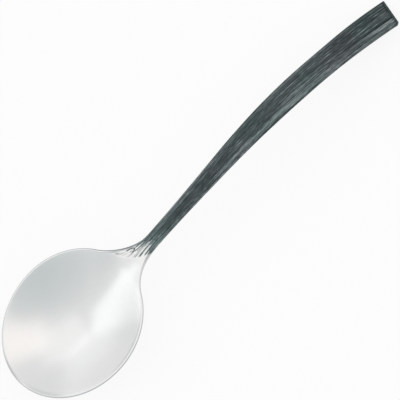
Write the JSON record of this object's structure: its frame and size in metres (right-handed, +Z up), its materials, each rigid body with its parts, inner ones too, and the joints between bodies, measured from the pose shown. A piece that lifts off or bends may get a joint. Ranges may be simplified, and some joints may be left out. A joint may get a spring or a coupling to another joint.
{
  "type": "soup spoon",
  "caption": "Round-bowled soup spoon with a polished steel bowl and an arched, dark, wood-grained hollow handle.",
  "frame": {"origin": "on the table, under the middle of the spoon's length", "axes": "+X from the bowl to the end of the handle, +Y across the bowl, +Z up from the table"},
  "size_m": [0.176, 0.047, 0.021],
  "materials": {
    "polished_steel": "stainless steel, polished to a soft satin shine",
    "blackened_steel": "steel, pressed with a lengthwise wood grain and blackened",
    "set_cement": "set handle cement, dull"
  },
  "bodies": {
    "root": {"bowl_and_tang": "polished_steel", "handle_top_half": "blackened_steel", "handle_bottom_half": "blackened_steel", "handle_end_plate": "blackened_steel", "tang_cement": "set_cement"}
  },
  "joints": []
}
